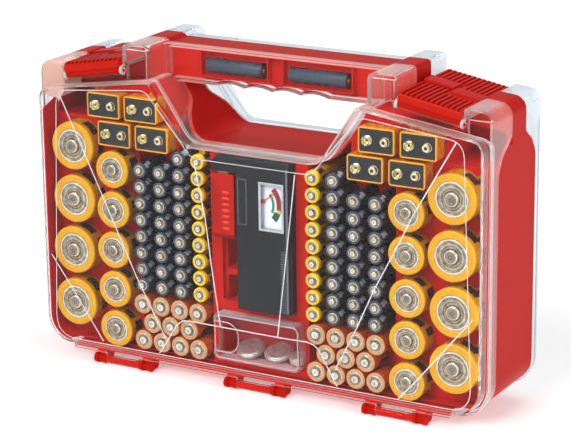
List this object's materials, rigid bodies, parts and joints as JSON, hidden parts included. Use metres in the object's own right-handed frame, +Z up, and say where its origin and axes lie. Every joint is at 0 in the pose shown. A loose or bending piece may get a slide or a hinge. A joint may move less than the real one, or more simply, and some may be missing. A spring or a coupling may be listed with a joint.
{
  "type": "two-sided battery storage case",
  "caption": "Red carry case with clear hinged lids on both sides, pocket trays for household cells, a battery tester and a coin bin.",
  "frame": {"origin": "on the surface that the case stands on, under the middle of its width and depth", "axes": "+X along the width to the right as seen from the front, +Y from the front lid to the back lid, +Z up to the handle"},
  "size_m": [0.344, 0.0906, 0.2315],
  "materials": {
    "red_polypropylene": "moulded, satin gloss",
    "red_tray": "moulded, satin",
    "red_latch": "moulded, gloss",
    "clear_polystyrene": "moulded clear, polished",
    "red_rod": "moulded, gloss",
    "yellow_jacket_large": "printed film",
    "nickel_steel": "nickel plated",
    "orange_jacket": "printed film",
    "yellow_jacket_small": "printed film",
    "slate_jacket": "printed film",
    "amber_jacket": "printed film",
    "dark_top_plate": "moulded",
    "dark_abs": "fine textured",
    "red_arm": "moulded, gloss",
    "silver_bezel": "satin plated",
    "clear_window": "clear",
    "printed_card": "printed",
    "orange_needle": "painted",
    "plated_brass": "plated",
    "ceramic_resistor": "coated"
  },
  "bodies": {
    "case": {"aa_cell_caps": "nickel_steel", "aa_cell_jackets": "orange_jacket", "back_cell_jackets": "orange_jacket", "back_cell_nubs": "nickel_steel", "back_hinge_rods": "red_rod", "bin_cover": "clear_polystyrene", "c_cell_caps": "nickel_steel", "c_cell_jackets": "yellow_jacket_large", "case_body": "red_polypropylene", "coin_cells": "nickel_steel", "d_cell_caps": "nickel_steel", "d_cell_jackets": "yellow_jacket_large", "dark_aaa_cell_caps": "nickel_steel", "dark_aaa_cell_jackets": "slate_jacket", "dial_card": "printed_card", "front_hinge_rods": "red_rod", "handle_cell_jackets": "slate_jacket", "handle_cell_nubs": "nickel_steel", "load_resistor": "ceramic_resistor", "meter_bezel": "silver_bezel", "meter_movement": "dark_abs", "meter_window": "clear_window", "middle_tray": "red_tray", "nine_volt_jackets": "amber_jacket", "nine_volt_plates": "dark_top_plate", "nine_volt_snaps": "nickel_steel", "side_trays": "red_tray", "tester_back_shell": "dark_abs", "tester_front_shell": "dark_abs", "tester_screws": "nickel_steel", "tester_snap_studs": "nickel_steel", "tester_top_contact": "plated_brass", "yellow_aaa_cell_caps": "nickel_steel", "yellow_aaa_cell_jackets": "yellow_jacket_small"},
    "front_lid": {"front_lid": "clear_polystyrene"},
    "back_lid": {"back_lid": "clear_polystyrene"},
    "front_latch_right": {"front_latch_right": "red_latch"},
    "front_latch_left": {"front_latch_left": "red_latch"},
    "back_latch_right": {"back_latch_right": "red_latch"},
    "back_latch_left": {"back_latch_left": "red_latch"},
    "slider": {"tester_slider": "red_arm", "tester_slider_contact": "plated_brass"},
    "needle": {"meter_needle": "orange_needle"}
  },
  "joints": [
    {"name": "front_lid_hinge", "type": "hinge", "parent": "case", "child": "front_lid", "pos_m": [0, -0.04175, 0.0036], "axis": [1, 0, 0], "range_deg": [0, 90]},
    {"name": "back_lid_hinge", "type": "hinge", "parent": "case", "child": "back_lid", "pos_m": [0, 0.04175, 0.0036], "axis": [-1, 0, 0], "range_deg": [0, 90]},
    {"name": "front_latch_right_pivot", "type": "hinge", "parent": "front_lid", "child": "front_latch_right", "pos_m": [0.1281, -0.0352, 0.209], "axis": [0.9848, 0, -0.1736], "range_deg": [0, 100]},
    {"name": "front_latch_left_pivot", "type": "hinge", "parent": "front_lid", "child": "front_latch_left", "pos_m": [-0.1281, -0.0352, 0.209], "axis": [0.9848, 0, 0.1736], "range_deg": [0, 100]},
    {"name": "back_latch_left_pivot", "type": "hinge", "parent": "back_lid", "child": "back_latch_left", "pos_m": [-0.1281, 0.0352, 0.209], "axis": [-0.9848, 0, -0.1736], "range_deg": [0, 100]},
    {"name": "back_latch_right_pivot", "type": "hinge", "parent": "back_lid", "child": "back_latch_right", "pos_m": [0.1281, 0.0352, 0.209], "axis": [-0.9848, 0, 0.1736], "range_deg": [0, 100]},
    {"name": "tester_slide", "type": "slide", "parent": "case", "child": "slider", "axis": [0, 0, -1], "range_m": [0, 0.044]},
    {"name": "needle_pivot", "type": "hinge", "parent": "case", "child": "needle", "pos_m": [0.0074, -0.04, 0.136], "axis": [0, 1, 0], "range_deg": [0, 80], "stiffness_Nm_per_rad": 0.00002, "springref_deg": -57.3}
  ]
}
